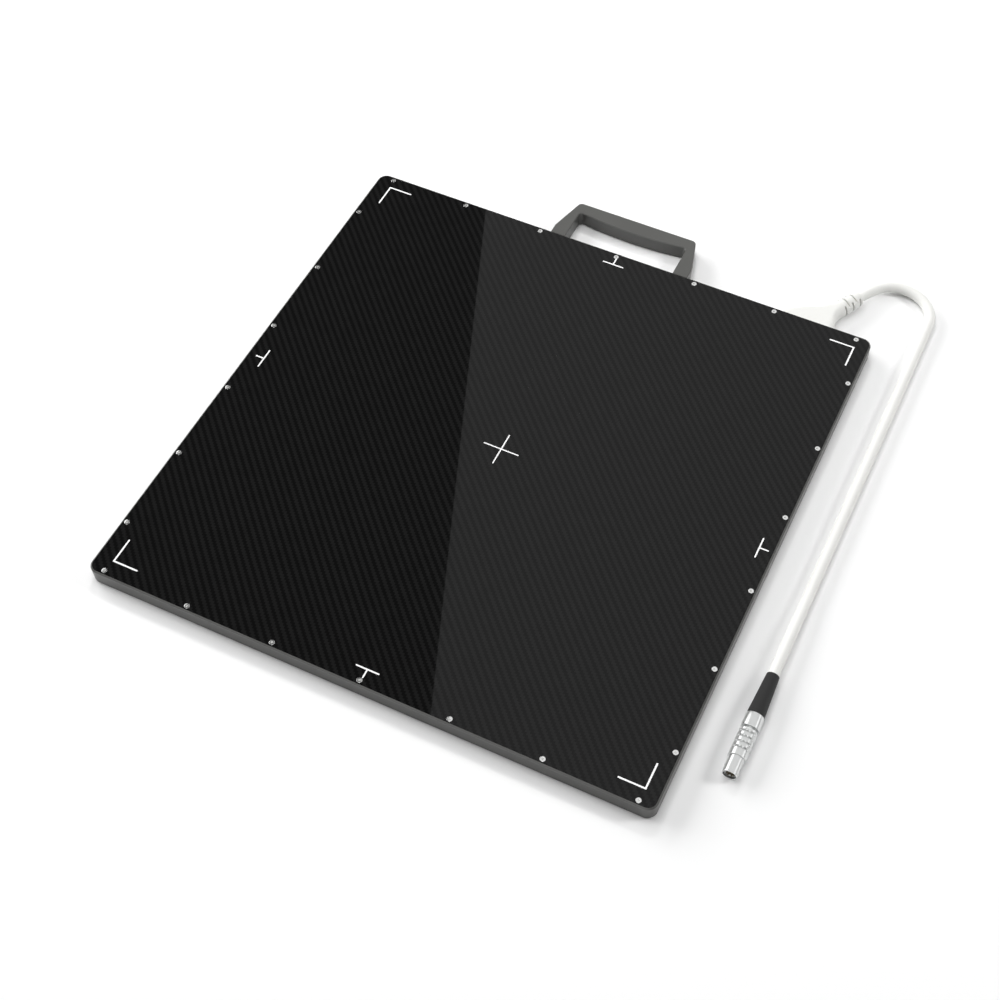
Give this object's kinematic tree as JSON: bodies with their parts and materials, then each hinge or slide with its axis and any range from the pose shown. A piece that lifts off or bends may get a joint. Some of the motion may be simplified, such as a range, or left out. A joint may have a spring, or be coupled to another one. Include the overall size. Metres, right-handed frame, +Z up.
{
  "type": "flat panel x-ray detector",
  "caption": "Thin square x-ray detector panel with a carbon fibre cover, a carry handle, a moulded cable block with strain relief, a soft cable and a round push-pull plug.",
  "frame": {"origin": "centre of the underside", "axes": "+X along the handle's edge to the cable's side, +Y from the middle to the handle's edge, +Z up through the image face"},
  "size_m": [0.5019, 0.5384, 0.015],
  "materials": {
    "carbon_cover": "clear gloss over black carbon twill",
    "grey_paint": "fine grey paint on aluminium",
    "rear_paint": "fine dark grey paint on aluminium",
    "bright_screw": "bright zinc",
    "black_seal": "soft matt rubber",
    "foam": "closed cell foam",
    "phosphor": "pale phosphor layer",
    "array_glass": "clear glass with a fine array",
    "shield_metal": "dull heavy metal sheet",
    "plate_metal": "milled aluminium",
    "support_metal": "turned brass",
    "silicone": "soft grey silicone",
    "flex_film": "amber film",
    "board_green": "green solder mask",
    "chip_black": "moulded black",
    "can_metal": "tinned sheet",
    "harness_jacket": "dark sleeve",
    "white_mould": "smooth white moulding",
    "white_jacket": "smooth white jacket",
    "boot_rubber": "matt black rubber",
    "satin_chrome": "satin chrome",
    "spring_metal": "bright spring steel",
    "insulator": "dark moulding",
    "gold_pin": "gold plate"
  },
  "bodies": {
    "panel": {"front_cover": "carbon_cover", "front_seal": "black_seal", "cover_screws": "bright_screw", "housing_frame": "grey_paint", "rear_seal": "black_seal", "rear_cover": "rear_paint", "rear_cover_screws": "bright_screw", "handle": "grey_paint", "handle_screws": "bright_screw", "cushion_sheet": "foam", "scintillator": "phosphor", "tft_glass": "array_glass", "shield_sheet": "shield_metal", "support_plate": "plate_metal", "plate_supports": "support_metal", "edge_cushions": "silicone", "readout_flexes": "flex_film", "gate_flexes": "flex_film", "readout_board": "board_green", "gate_board": "board_green", "main_board": "board_green", "power_board": "board_green", "board_pads": "silicone", "board_screws": "bright_screw", "board_chips": "chip_black", "shield_can": "can_metal", "heat_pad": "silicone", "ribbon_cables": "flex_film", "cable_socket": "chip_black", "cable_harness": "harness_jacket", "cable_overmould": "white_mould", "overmould_screws": "bright_screw", "cable": "white_jacket", "plug_boot": "boot_rubber", "collet_nut": "satin_chrome", "latch_sleeve": "satin_chrome", "contact_insert": "insulator", "contact_pins": "gold_pin"},
    "release_shell": {"release_shell": "satin_chrome"},
    "latch_left": {"latch_finger_left": "spring_metal"},
    "latch_right": {"latch_finger_right": "spring_metal"}
  },
  "joints": [
    {"name": "shell_slide", "type": "slide", "parent": "panel", "child": "release_shell", "axis": [0, 1, 0], "range_m": [0, 0.0015], "stiffness_N_per_m": 2000},
    {"name": "latch_left_turn", "type": "hinge", "parent": "panel", "child": "latch_left", "pos_m": [0.26045, -0.1649, 0.007], "axis": [0, 0, 1], "range_deg": [0, 3]},
    {"name": "latch_right_turn", "type": "hinge", "parent": "panel", "child": "latch_right", "pos_m": [0.26935, -0.1649, 0.007], "axis": [0, 0, -1], "range_deg": [0, 3]}
  ],
  "couplings": [
    {"joint": "latch_left_turn", "follows": "shell_slide", "rad_per_m": 34.9},
    {"joint": "latch_right_turn", "follows": "shell_slide", "rad_per_m": 34.9}
  ]
}
